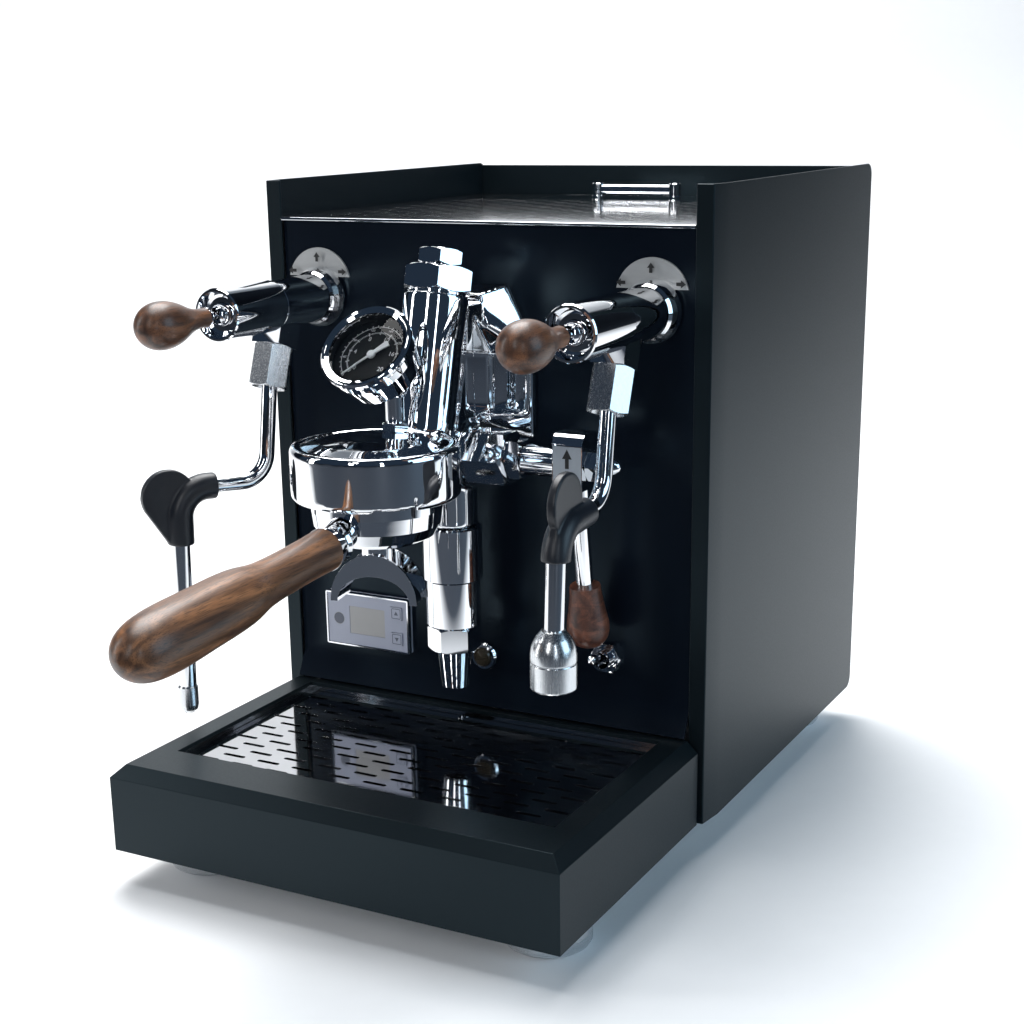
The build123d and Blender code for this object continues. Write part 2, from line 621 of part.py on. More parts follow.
def escutcheon(side):
    return along_valve([(14.4, 0), (18, 0), (18, 1.5), (17.2, 5), (15.8, 8.5), (14.4, 10.5)], side, 0.75)


def boss_axis():
    return Vector(0, -sin(radians(BOSS_TILT)), -cos(radians(BOSS_TILT)))


def boss_point(side, before_ball):
    """A point on the union's axis, so far before the centre of the wand's ball."""
    x, y, z = WAND_BALL
    return tuple(Vector(side * x, y, z) - boss_axis() * before_ball)


def valve_body(side):
    body = along_valve([(0, 0), (14.2, 0), (14.2, 52.6), (13.4, 53.2), (13.4, 54), (15, 54.6),
                        (15, 101.7), (14.4, 102.7), (13.2, 102.7), (11.2, 97.6), (9.6, 96.7), (0, 96.7)], side, 0.7)
    body += rod((side * VALVE_X, 26, VALVE_Z), (side * VALVE_X, 0.7, VALVE_Z), 7.6)
    top, end = boss_point(side, 36.0), boss_point(side, 17.6)
    square = Plane(origin=top, x_dir=(1, 0, 0), z_dir=tuple(boss_axis()))
    boss = square * extrude(Rectangle(19, 19), (Vector(*end) - Vector(*top)).length)
    body += boss
    return body - Pos(side * VALVE_X, VALVE_BALL_Y, VALVE_Z) * Sphere(6.85)


def wand_nut(side):
    """Union nut whose round seat holds the wand's ball joint."""
    nut = Plane(origin=boss_point(side, 17.55), x_dir=(1, 0, 0), z_dir=tuple(boss_axis()))
    body = nut * hex_nut(21.0, 25.0, (0, 0, 0), (0, 0, 1))
    ball = Pos(side * WAND_BALL[0], WAND_BALL[1], WAND_BALL[2])
    body -= ball * Sphere(9.2)
    mouth = turned([(0, 4.0), (8.2, 4.0), (9.6, 8.0), (0, 8.0)],
                   boss_point(side, 0.0), tuple(boss_axis()))
    steam_way = rod(boss_point(side, 18.0), boss_point(side, 6.0), 3.0)
    return body - mouth - steam_way


def wand_seat(side):
    """Spherical liner that turns in the nut and lets the ball tilt in it."""
    liner = Sphere(8.9) - Sphere(7.3)
    liner -= Pos(0, 0, 12.6) * Box(30, 30, 12)
    liner -= Pos(0, 0, -9.0) * Box(30, 30, 12)
    return Pos(side * WAND_BALL[0], WAND_BALL[1], WAND_BALL[2]) * liner


def joystick_ball(side):
    ball = Sphere(6.5) - Pos(0, -3.0, 0) * Box(5.6, 12.4, 8.8)
    return Pos(side * VALVE_X, VALVE_BALL_Y, VALVE_Z) * ball


def joystick_stem(side):
    x = side * VALVE_X
    stem = Pos(x, VALVE_BALL_Y, VALVE_Z) * Sphere(2.5)
    stem += rod((x, VALVE_BALL_Y, VALVE_Z), (x, -117, VALVE_Z), 2.5)
    return stem + along_valve([(0, 0), (5.2, 0), (5.6, 0.8), (5.6, 2.2), (0, 2.2)], side, -110.7)


def joystick_knob(side):
    curve = [(5.6, 0), (5.4, 4), (7.0, 14), (10.6, 24), (12.9, 35), (11.4, 45), (6.2, 51.2), (0.4, 52.8)]
    knob = turned_smooth(curve, (side * VALVE_X, -113, VALVE_Z), OUTWARD)
    return knob - rod((side * VALVE_X, -112, VALVE_Z), (side * VALVE_X, -117, VALVE_Z), 2.5)


# ---- wands ----
def wand_point(side, turn, reach, z):
    """A point of a wand: reach is measured level from the ball, in the wand's own upright plane."""
    x, y, _ = WAND_BALL
    return (side * x + reach * sin(radians(turn)), y - reach * cos(radians(turn)), z)


def wand_line(side, turn, route):
    points = [wand_point(side, turn, reach, z) for reach, z in route]
    return points, FilletPolyline(*points, radius=WAND_BEND_R)


def bar_along(line, start, toward, radius):
    return sweep(facing(start, Vector(*toward) - Vector(*start)) * Circle(radius), path=line)


def wand(side, turn, route, grip):
    """Ball, bent tube and the thicker sleeve that runs from the grip's lower end to the tip."""
    _, tail = grip
    points, line = wand_line(side, turn, route)
    tube = bar_along(line, points[0], points[1], WAND_TUBE_R)
    tube += Pos(*points[0]) * Sphere(WAND_BALL_R)
    low = Vector(*points[3])
    rise = Vector(*points[2]) - low
    top = low + rise.normalized() * (rise.length - tail - 0.1)
    return tube + rod(tuple(low), tuple(top), WAND_SLEEVE_R)


def wand_grip(side, turn, route, grip, fin):
    """Rubber grip moulded round the second bend, with a flat round fin for the thumb."""
    _, (r1, z1), (r2, z2), (r3, z3) = route
    start, tail = grip
    inner = (start, z1 + (z2 - z1) * (start - r1) / (r2 - r1))
    down = (r2 + (r3 - r2) * tail / (z2 - z3), z2 - tail)
    points = [wand_point(side, turn, *place) for place in (inner, (r2, z2), down)]
    line = FilletPolyline(*points, radius=WAND_BEND_R)
    body = bar_along(line, points[0], points[1], GRIP_R)
    reach, height, radius = fin
    across = Vector(cos(radians(turn)), sin(radians(turn)), 0)
    half = across * (GRIP_FIN_T / 2)
    centre = Vector(*wand_point(side, turn, reach, height))
    body += facing(tuple(centre - half), tuple(across)) * Cylinder(radius, GRIP_FIN_T, align=ON_BASE)
    corners = [(reach + radius * 0.8, height - radius * 0.6), (down[0] + GRIP_R * 0.9, down[1] + 0.4),
               down, (r2 - 12, z2), (reach, height + radius * 0.4)]
    web = Polyline(*[Vector(*wand_point(side, turn, *corner)) - half for corner in corners], close=True)
    body += extrude(make_face(web), GRIP_FIN_T, dir=tuple(across))
    return body - wand(side, turn, route, grip)


def steam_tip():
    x, y, z = wand_point(-1, STEAM_TURN, *STEAM_ROUTE[3])
    tip = turned([(0, z - 9.5), (2.5, z - 9.4), (5.2, z - 7), (6.0, z - 4), (6.0, z + 7), (5.3, z + 8),
                  (0, z + 8)], (x, y, 0))
    for hole in PolarLocations(3.4, 4):
        tip -= Pos(x, y, z - 10) * hole * Cylinder(0.8, 8)
    above = wand_point(-1, STEAM_TURN, *STEAM_ROUTE[2])
    return tip - rod((x, y, z), above, WAND_SLEEVE_R)


def water_nozzle():
    """Round spray head: a dome over a short cylinder with a straightening screen."""
    x, y, z = wand_point(1, WATER_TURN, *WATER_ROUTE[3])
    head = turned([(0, z - 17), (11.4, z - 17), (12.2, z - 16), (12.2, z - 3), (11.8, z - 2.4),
                   (12.2, z - 1.8), (12.2, z + 2), (11.5, z + 6.4), (9.8, z + 10.4), (7.6, z + 13.2),
                   (6.4, z + 14.6), (0, z + 14.6)], (x, y, 0))
    head -= Pos(x, y, z - 18) * Cylinder(9.5, 8, align=ON_BASE)
    above = wand_point(1, WATER_TURN, *WATER_ROUTE[2])
    return head - rod((x, y, z), above, WAND_SLEEVE_R)


# ---- controls ----
def display_case():
    x, z = DISPLAY
    frame = block((x - DISPLAY_W / 2, x + DISPLAY_W / 2), (-2.6, PANEL_Y - 0.02),
                  (z - DISPLAY_H / 2, z + DISPLAY_H / 2))
    frame = fillet(frame.edges().filter_by(Axis.Y), 1.2)
    frame += block((x - 25.8, x + 25.8), (0, 18), (z - 13.8, z + 13.8))
    frame -= block((x - 13, x + 13), (-6, -1.4), (z - 9, z + 9))
    frame -= rod((x - 21, -6, z), (x - 21, -1.4, z), 4.0)
    for rise in (-BUTTON_RISE, BUTTON_RISE):
        frame -= block((x + BUTTON_X - 4.2, x + BUTTON_X + 4.2), (-6, 1.0),
                       (z + rise - 4.2, z + rise + 4.2))
    return frame


def display_window():
    x, z = DISPLAY
    return block((x - 12.9, x + 12.9), (-2.4, -1.42), (z - 8.9, z + 8.9))


def status_lens():
    x, z = DISPLAY
    return rod((x - 21, -1.42, z), (x - 21, -2.5, z), 3.9)


def display_button(rise):
    x, z = DISPLAY
    half = 3.9
    key = block((x + BUTTON_X - half, x + BUTTON_X + half), (-3.4, -0.2),
                (z + rise - half, z + rise + half))
    return fillet(key.edges().filter_by(Axis.Y), 1.0)


def pilot_lamp_ring():
    x, z = LAMP
    ring = turned([(5.6, 0.02), (8.6, 0.02), (8.6, 1.4), (7.6, 3.0), (6.2, 3.2), (5.6, 2.4)],
                  (x, PANEL_Y, z), OUTWARD)
    barrel = rod((x, PANEL_Y - 1, z), (x, 20, z), 6.2) - rod((x, PANEL_Y - 9, z), (x, 21, z), 5.6)
    return ring + barrel


def pilot_lamp():
    x, z = LAMP
    return turned([(0, 1), (5.5, 1), (5.5, 20.6), (4.6, 22.2), (0, 22.8)], (x, 20, z), OUTWARD)


def toggle_switch():
    x, z = SWITCH
    body = block((x - 12, x + 12), (5, 26), (z - 7, z + 7)) + rod((x, -7.4, z), (x, 6, z), 5.9)
    hollow = turned([(0, 0), (2.6, 0), (5.0, 10.4), (0, 10.4)], (x, 2.6, z), OUTWARD)
    return body - hollow - Pos(x, 1.4, z) * Sphere(3.0)


def toggle_nuts():
    """Hexagon nut and the round locking ring in front of it."""
    x, z = SWITCH
    nut = hex_nut(17.0, 3.6, (x, PANEL_Y - 0.02, z), OUTWARD, bore=5.95)
    ring = turned([(5.95, 0), (7.4, 0), (7.4, 2.2), (5.95, 2.2)], (x, PANEL_Y - 3.64, z), OUTWARD)
    return [nut, ring]


def toggle_lever():
    x, z = SWITCH
    lift = radians(SWITCH_THROW / 2)
    bat = turned([(0, 0), (1.8, 0), (1.9, 8), (2.6, 13), (3.1, 18), (2.4, 21), (0, 22)],
                 (x, 1.4, z), (0, -cos(lift), sin(lift)))
    return bat + Pos(x, 1.4, z) * Sphere(2.6)


# ---- inside ----
def boiler():
    shell = turned([(0, 0), (40, 0), (50, 5), (54, 14), (54, 136), (50, 145), (40, 150), (0, 150)],
                   (0, 190, 225), OUTWARD)
    shell += rod((0, 175, 225), (0, 184, 225), 58)
    for x in (-VALVE_X * 0.4, VALVE_X * 0.4):
        shell += rod((x, 100, 240), (x, 100, 292), 7)
    room = turned([(0, 3), (38, 3), (47, 8), (51, 15), (51, 134), (47, 142), (38, 147), (0, 147)],
                  (0, 190, 225), OUTWARD)
    return shell - room


def boiler_stand():
    stand = Part()
    for y in (70, 150):
        saddle = block((-50, 50), (y, y + 3), (SHEET + 0.02, 200))
        saddle -= rod((0, y - 1, 225), (0, y + 4, 225), 54.05)
        saddle -= block((-35, 35), (y - 1, y + 4), (20, 150))
        stand += saddle
    return stand + block((-50, 50), (70, 153), (SHEET + 0.02, 4))


def group_pipes():
    """Feed and return pipes from the boiler to the back of the group."""
    return [rod((x, PANEL_Y + 0.02, z), (x, 39.9, z), 6.0) for x, z in ((-14, 246), (14, 246), (0, 262))]


def heating_element():
    element = rod((0, 190.05, 225), (0, 196, 225), 22)
    for x in (-8, 8):
        element += rod((x, 195, 225), (x, 206, 225), 4)
    return element


def boiler_set():
    return group([boiler(), heating_element(), *group_pipes()])


def pump():
    body = rod((88, 90, 42), (88, 170, 42), 22)
    body += block((62, 114), (105, 150), (16, 68))
    return body + rod((88, 60, 42), (88, 90, 42), 5) + rod((88, 170, 42), (88, 190, 42), 6)


def pump_mount():
    mount = block((58, 118), (100, 155), (SHEET + 0.02, 4))
    for x in (66, 110):
        mount += rod((x, 127, 4), (x, 127, 15.95), 6)
    return mount


def control_box():
    box = block((-135, -70), (60, 160), (SHEET + 0.02, 52))
    return fillet(box.edges().filter_by(Axis.Z), 4)


def power_inlet():
    plate = block((80, 116), (BACK_Y + SHEET + 0.02, BACK_Y + SHEET + 3), (26, 55))
    body = block((85, 111), (BACK_Y - 22, BACK_Y + SHEET + 0.5), (31, 50))
    hollow = block((87, 109), (BACK_Y - 16, BACK_Y + 10), (33, 48))
    inlet = plate + body - hollow
    for x, z in ((91, 42), (105, 42), (98, 38)):
        inlet += block((x - 1, x + 1), (BACK_Y - 17, BACK_Y - 1), (z - 2, z + 2))
    return inlet


def pieces():
    """Every node of the machine by name."""
    steam = (-1, STEAM_TURN, STEAM_ROUTE, STEAM_GRIP)
    water = (1, WATER_TURN, WATER_ROUTE, WATER_GRIP)
    return {
        "base_frame": base_frame(),
        "left_side_panel": side_panel(-1),
        "right_side_panel": side_panel(1),
        "front_panel": front_panel(),
        "back_panel": back_panel(),
        "cup_tray": cup_tray(),
        "feet": feet(),
        "water_tank": water_tank(),
        "reservoir_lid": group([reservoir_lid(), reservoir_handle()]),
        "drip_tray": drip_tray(),
        "drip_pan": drip_pan(),
        "drip_grid": drip_grid(),
        "group_casting": group_casting(),
        "group_gasket": group_gasket(),
        "shower_screen": shower_screen(),
        "chamber_caps": group([valve_chamber_cap(), top_plug()]),
        "lever_gland": lever_gland(),
        "brew_lever": brew_lever(),
        "lever_knob": lever_knob(),
        "infusion_chamber": infusion_chamber(),
        "discharge_nozzle": discharge_nozzle(),
        "gauge_case": group([gauge_case(), gauge_bezel()]),
        "gauge_dial": gauge_dial(),
        "gauge_glass": gauge_glass(),
        "gauge_needle": gauge_needle(),
        "gauge_stem": gauge_stem(),
        "portafilter_body": portafilter_body(),
        "portafilter_handle": portafilter_handle(),
        "filter_basket": filter_basket(),
        "double_spout": double_spout(),
        "dial_plates": both_sides(dial_plate),
        "valve_bodies": group([*both_sides(valve_body).children, *both_sides(escutcheon).children]),
        "wand_nuts": both_sides(wand_nut),
        "steam_wand_seat": wand_seat(-1),
        "water_wand_seat": wand_seat(1),
        "steam_joystick_ball": joystick_ball(-1),
        "water_joystick_ball": joystick_ball(1),
        "steam_joystick": joystick_stem(-1),
        "water_joystick": joystick_stem(1),
        "steam_knob": joystick_knob(-1),
        "water_knob": joystick_knob(1),
        "steam_wand": wand(*steam),
        "water_wand": wand(*water),
        "steam_wand_grip": wand_grip(*steam, STEAM_FIN),
        "water_wand_grip": wand_grip(*water, WATER_FIN),
        "steam_tip": steam_tip(),
        "water_nozzle": water_nozzle(),
        "display_case": display_case(),
        "display_window": group([display_window(), status_lens()]),
        "display_button_up": display_button(BUTTON_RISE),
        "display_button_down": display_button(-BUTTON_RISE),
        "pilot_lamp_ring": pilot_lamp_ring(),
        "pilot_lamp": pilot_lamp(),
        "toggle_switch": group([toggle_switch(), *toggle_nuts()]),
        "toggle_lever": toggle_lever(),
        "boiler": boiler_set(),
        "inner_brackets": group([tank_cradle(), boiler_stand(), pump_mount()]),
        "pump": pump(),
        "control_box": control_box(),
        "power_inlet": power_inlet(),
    }


def centred_shift(nodes):
    """The move that brings the bottom centre of the whole machine to the origin."""
    boxes = [part.bounding_box() for part in nodes.values()]
    x = (min(box.min.X for box in boxes) + max(box.max.X for box in boxes)) / 2
    y = (min(box.min.Y for box in boxes) + max(box.max.Y for box in boxes)) / 2
    return (-x, -y, -min(box.min.Z for box in boxes))


NODES = pieces()
ORIGIN_SHIFT = centred_shift(NODES)
os.makedirs("parts", exist_ok=True)
for name, part in NODES.items():
    export_step(Pos(*ORIGIN_SHIFT) * part, f"parts/{name}.step")
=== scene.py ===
from math import cos, pi, radians, sin, tau

import bmesh
import bpy
from mathutils import Matrix, Vector


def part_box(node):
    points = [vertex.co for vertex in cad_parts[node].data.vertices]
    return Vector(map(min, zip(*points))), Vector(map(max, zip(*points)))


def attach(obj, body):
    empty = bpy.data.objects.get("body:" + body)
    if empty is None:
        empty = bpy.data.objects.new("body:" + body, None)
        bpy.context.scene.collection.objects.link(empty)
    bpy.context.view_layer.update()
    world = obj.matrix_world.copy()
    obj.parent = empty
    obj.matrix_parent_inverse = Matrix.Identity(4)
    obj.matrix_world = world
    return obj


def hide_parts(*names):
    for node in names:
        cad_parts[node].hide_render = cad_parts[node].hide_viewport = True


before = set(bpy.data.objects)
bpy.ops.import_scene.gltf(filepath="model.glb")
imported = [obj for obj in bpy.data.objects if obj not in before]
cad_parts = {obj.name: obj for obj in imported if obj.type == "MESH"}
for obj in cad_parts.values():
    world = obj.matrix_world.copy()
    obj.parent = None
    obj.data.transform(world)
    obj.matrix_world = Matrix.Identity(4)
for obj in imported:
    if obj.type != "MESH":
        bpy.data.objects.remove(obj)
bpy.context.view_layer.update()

# ---- Room, floor and lights --------------------------------------------------
# The machine stands on a pale floor that curves up behind it, as on a studio table, with
# large soft lamps round it. Well in front of the machine the floor is painted dark: painted
# shade that stands in for the floor falling away from the lamps, so that the plated parts have
# something dark to mirror. None of this is part of the machine.
MM = 0.001
left_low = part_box("left_side_panel")[0]
right_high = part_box("right_side_panel")[1]
datum = Vector(((left_low.x + right_high.x) / 2, left_low.y, left_low.z))
TO_METRES = Matrix.Translation(datum) @ Matrix.Scale(MM, 4)
FLOOR_COLOUR = (0.93, 0.935, 0.94)
# Painted shade: the dark colour laid on the floor well in front of the machine, in place of the
# floor falling away from the lamps.
PAINTED_SHADE_FLOOR_COLOUR = (0.022, 0.030, 0.044)
PALE_CENTRE = (0.0, 2.1, 0.0)
PALE_RADIUS = 2.44
PALE_EDGE = 0.16
FLOOR_TURN = radians(28)
LAMP_AIM = Vector((0, 0, 0.2))
WORLD_COLOUR = (0.36, 0.60, 1.0)


def spot(x, y, z):
    """A point in metres; x, y and z are millimetres from the middle of the case's lower edge."""
    return TO_METRES @ Vector((x, y, z))


def shade_node(tree, kind, **values):
    """Adds a shader node; keywords are its settings, or its sockets written in lower case."""
    node = tree.nodes.new("ShaderNode" + kind)
    for key, value in values.items():
        if hasattr(node, key):
            setattr(node, key, value)
        else:
            node.inputs[key.replace("_", " ").title()].default_value = value
    return node


def new_object(name, mesh, *materials):
    made = bpy.data.objects.new(name, mesh)
    bpy.context.collection.objects.link(made)
    for material in materials:
        mesh.materials.append(material)
    return made


def plain_floor():
    sweep = [(-4.0, 0.0), (1.3, 0.0), (1.7, 0.05), (2.05, 0.2), (2.3, 0.5), (2.4, 0.9), (2.4, 3.6)]
    half = 5.0
    mesh = bpy.data.meshes.new("floor")
    points = [(x, y, z) for y, z in sweep for x in (-half, half)]
    quads = [(2 * i, 2 * i + 1, 2 * i + 3, 2 * i + 2) for i in range(len(sweep) - 1)]
    mesh.from_pydata(points, [], quads)
    mesh.polygons.foreach_set("use_smooth", [True] * len(quads))
    material = bpy.data.materials.new("floor_paper")
    material.use_nodes = True
    tree = material.node_tree
    shader = tree.nodes["Principled BSDF"]
    shader.inputs["Roughness"].default_value = 0.9
    speck = shade_node(tree, "TexNoise", scale=60.0, detail=3.0)
    mix = shade_node(tree, "MixRGB", color1=(*FLOOR_COLOUR, 1),
                     color2=tuple(c * 0.975 for c in FLOOR_COLOUR) + (1,))
    place = shade_node(tree, "TexCoord")
    tree.links.new(place.outputs["Object"], speck.inputs["Vector"])
    tree.links.new(speck.outputs[0], mix.inputs[0])
    reach = shade_node(tree, "VectorMath", operation="DISTANCE")
    reach.inputs[1].default_value = PALE_CENTRE
    fade = shade_node(tree, "MapRange", from_min=PALE_RADIUS, from_max=PALE_RADIUS + PALE_EDGE)
    # Outside the pale circle the floor's colour turns to the painted shade colour.
    painted_shade_mix = shade_node(tree, "MixRGB", color2=(*PAINTED_SHADE_FLOOR_COLOUR, 1))
    tree.links.new(place.outputs["Object"], reach.inputs[0])
    tree.links.new(reach.outputs["Value"], fade.inputs[0])
    tree.links.new(fade.outputs[0], painted_shade_mix.inputs[0])
    tree.links.new(mix.outputs[0], painted_shade_mix.inputs[1])
    tree.links.new(painted_shade_mix.outputs[0], shader.inputs["Base Color"])
    floor = new_object("floor", mesh, material)
    floor.rotation_euler = (0, 0, FLOOR_TURN)


def soft_lamp(name, place, size, watts, colour=(1, 1, 1)):
    """A rectangular lamp that faces the middle of the machine."""
    lamp = bpy.data.lights.new(name, "AREA")
    lamp.shape = "RECTANGLE"
    lamp.size, lamp.size_y = size
    lamp.energy = watts
    lamp.color = colour
    holder = bpy.data.objects.new(name, lamp)
    holder.location = place
    aim = LAMP_AIM - Vector(place)
    holder.rotation_euler = aim.to_track_quat("-Z", "Y").to_euler()
    bpy.context.collection.objects.link(holder)


plain_floor()
soft_lamp("lamp_above", (-0.2, 0.1, 1.9), (1.3, 0.9), 24)
soft_lamp("window_right", (2.0, 0.2, 0.9), (1.3, 1.6), 17, (0.55, 0.80, 1.0))
soft_lamp("strip_left", (-1.5, -0.9, 0.7), (0.22, 1.5), 9)
soft_lamp("strip_front", (0.05, -1.9, 1.1), (0.20, 1.3), 7)
soft_lamp("strip_right", (1.25, -1.5, 0.7), (0.14, 1.3), 4, (0.80, 0.90, 1.0))
soft_lamp("backdrop_wash", (-0.9, 1.2, 2.6), (1.8, 1.4), 85)

world = bpy.data.worlds.new("room")
bpy.context.scene.world = world
world.use_nodes = True
world.node_tree.nodes["Background"].inputs["Color"].default_value = (*WORLD_COLOUR, 1)
world.node_tree.nodes["Background"].inputs["Strength"].default_value = 0.05
bpy.context.scene.view_settings.view_transform = "Standard"

# ---- Camera ------------------------------------------------------------------
# It stands to the machine's front right, a little above it and a little under a metre off.
CAMERA_TURN = 28.83
CAMERA_RISE = 16.15
CAMERA_ROLL = -1.01
camera_data = bpy.data.cameras.new("camera")
camera_data.lens = 60.12
camera_data.sensor_width = 36.0
camera_data.shift_x = 0.0201
camera_data.shift_y = 0.0815
camera = bpy.data.objects.new("camera", camera_data)
camera.matrix_world = (
    Matrix.Translation(spot(483.53, -867.27, 409.24))
    @ Matrix.Rotation(radians(CAMERA_TURN), 4, "Z")
    @ Matrix.Rotation(radians(90 - CAMERA_RISE), 4, "X")
    @ Matrix.Rotation(radians(CAMERA_ROLL), 4, "Z")
)
bpy.context.collection.objects.link(camera)
bpy.context.scene.camera = camera

# ---- Folded case -------------------------------------------------------------
# Side, front and back sheets are 1.5 mm mild steel, bent, spot welded and powder coated
# black. The coat is satin with a fine orange peel; the front sheet has a glossier coat.


def surface(name, colour, roughness, metallic=0.0, shade=0.12, patch=0.03, change=0.04,
            stretch=(1, 1, 1), relief=0.0, relief_size=0.001, coat=0.0, turn=(0, 0, 0)):
    """A finish whose colour and roughness drift over patches, with fine relief in the surface.

    shade is the share by which the colour varies, change the span of the roughness, and
    relief the depth in metres of marks that are relief_size metres across before stretch.
    """
    material = bpy.data.materials.new(name)
    material.use_nodes = True
    tree = material.node_tree
    shader = tree.nodes["Principled BSDF"]
    shader.inputs["Metallic"].default_value = metallic
    shader.inputs["Coat Weight"].default_value = coat
    shader.inputs["Coat Roughness"].default_value = 0.12
    place = shade_node(tree, "TexCoord")
    mapping = shade_node(tree, "Mapping", rotation=turn, scale=stretch)
    drift = shade_node(tree, "TexNoise", scale=1 / patch, detail=3.0)
    marks = shade_node(tree, "TexNoise", scale=1 / relief_size, detail=2.0)
    tint = shade_node(tree, "MixRGB", color1=tuple(c * (1 - shade) for c in colour) + (1,),
                      color2=tuple(min(1, c * (1 + shade)) for c in colour) + (1,))
    rough = shade_node(tree, "MapRange", from_min=0.3, from_max=0.7,
                       to_min=max(0.0, roughness - change / 2), to_max=roughness + change / 2)
    links = tree.links.new
    links(place.outputs["Object"], mapping.inputs["Vector"])
    links(mapping.outputs[0], drift.inputs["Vector"])
    links(mapping.outputs[0], marks.inputs["Vector"])
    links(drift.outputs[0], tint.inputs[0])
    links(tint.outputs[0], shader.inputs["Base Color"])
    links(drift.outputs[0] if not relief else marks.outputs[0], rough.inputs[0])
    links(rough.outputs[0], shader.inputs["Roughness"])
    if relief:
        bump = shade_node(tree, "Bump", distance=relief, strength=1.0)
        links(marks.outputs[0], bump.inputs["Height"])
        links(bump.outputs[0], shader.inputs["Normal"])
    return material


def dress(material, *names):
    """Gives CAD pieces their finish."""
    for name in names:
        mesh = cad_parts[name].data
        for index in range(len(mesh.materials)):
            mesh.materials[index] = material


MERGE_GAP = 2e-6
FLAT_ANGLE = radians(0.4)


def eased(name, width, material, angle=30.0, segments=2, body="root"):
    """The CAD piece with its hard edges broken by a small radius, as on finished sheet."""
    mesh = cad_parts[name].data.copy()
    work = bmesh.new()
    work.from_mesh(mesh)
    bmesh.ops.remove_doubles(work, verts=work.verts, dist=MERGE_GAP)
    bmesh.ops.dissolve_limit(work, angle_limit=FLAT_ANGLE, verts=work.verts, edges=work.edges)
    work.to_mesh(mesh)
    work.free()
    mesh.attributes.remove(mesh.attributes["custom_normal"])
    mesh.materials.clear()
    piece = new_object(name + "_finished", mesh, material)
    return round_edges(piece, width, angle, segments, body, [name])


def round_edges(piece, width, angle=30.0, segments=2, body="root", instead_of=()):
    """Bevels the edges sharper than angle, then smooths the shading between them."""
    bevel = piece.modifiers.new("broken_edge", "BEVEL")
    bevel.width = width * MM
    bevel.segments = segments
    bevel.limit_method = "ANGLE"
    bevel.angle_limit = radians(angle)
    bevel.harden_normals = True
    bevel.use_clamp_overlap = True
    piece.data.polygons.foreach_set("use_smooth", [True] * len(piece.data.polygons))
    bake_modifiers(piece)
    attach(piece, body)
    for node in instead_of:
        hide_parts(node)
    return piece


def bake_modifiers(piece):
    """Turns a piece with modifiers into a plain mesh."""
    graph = bpy.context.evaluated_depsgraph_get()
    mesh = bpy.data.meshes.new_from_object(piece.evaluated_get(graph), depsgraph=graph)
    piece.modifiers.clear()
    piece.data = mesh


satin_black = surface("satin_black_coat", (0.0050, 0.0082, 0.0105), 0.36, shade=0.10, patch=0.08,
                      change=0.05, relief=1.0e-6, relief_size=0.0011)
gloss_black = surface("gloss_black_coat", (0.0034, 0.0056, 0.0110), 0.25, shade=0.12, patch=0.10,
                      change=0.04)
for coat in (satin_black, gloss_black):
    coat_inputs = coat.node_tree.nodes["Principled BSDF"].inputs
    coat_inputs["Specular IOR Level"].default_value = 0.24
    coat_inputs["Specular Tint"].default_value = (0.60, 0.86, 1.0, 1)
for sheet in ("left_side_panel", "right_side_panel"):
    eased(sheet, 0.7, satin_black, segments=3)
eased("front_panel", 0.4, gloss_black)
eased("back_panel", 0.3, satin_black)

# ---- Floor plate, posts and feet ---------------------------------------------
# The plate is folded from zinc coated steel. Each foot is turned from steel.
zinc_plate = surface("zinc_plate", (0.50, 0.51, 0.52), 0.38, metallic=1.0, shade=0.12, patch=0.012,
                     change=0.16, relief=1e-6, relief_size=0.0008)
foot_steel = surface("turned_foot_steel", (0.66, 0.68, 0.70), 0.26, metallic=1.0, shade=0.06,
                     change=0.12, stretch=(0.05, 0.05, 1), relief=1.5e-6, relief_size=0.0004)
dress(zinc_plate, "base_frame", "inner_brackets")
eased("feet", 0.5, foot_steel)

# ---- Cup deck and reservoir lid ----------------------------------------------
# Both are stainless sheet, the deck slotted to let warm air rise. The lid's handle is a
# turned bar on two posts.
deck_steel = surface("deck_steel", (0.50, 0.52, 0.55), 0.085, metallic=1.0, shade=0.06, patch=0.02,
                     change=0.05, stretch=(0.1, 1, 1), relief=1.5e-7, relief_size=0.0006)
chrome = surface("polished_chrome", (0.83, 0.84, 0.86), 0.035, metallic=1.0, shade=0.03, patch=0.02,
                 change=0.03)
eased("cup_tray", 0.3, deck_steel, segments=1)
dress(chrome, "reservoir_lid")

# ---- Drip tray ---------------------------------------------------------------
# A powder coated drawer front and frame round a pressed steel pan, with a polished slotted
# grid that lifts out.
grid_steel = surface("grid_steel", (0.60, 0.60, 0.61), 0.06, metallic=1.0, shade=0.05, patch=0.03,
                     change=0.04, stretch=(0.1, 1, 1), relief=5e-8, relief_size=0.0008)
pan_steel = surface("pan_steel", (0.40, 0.41, 0.42), 0.12, metallic=1.0, change=0.08, relief=1e-7)
eased("drip_tray", 0.9, satin_black, segments=3, body="drip_tray")
eased("drip_grid", 0.3, grid_steel, segments=1, body="drip_grid")
dress(pan_steel, "drip_pan")

# ---- Brew group --------------------------------------------------------------
# A chromed brass casting with a bell, a tilted valve chamber, a lever housing and a column.
# The casting is cast with soft inner corners, then polished and plated.


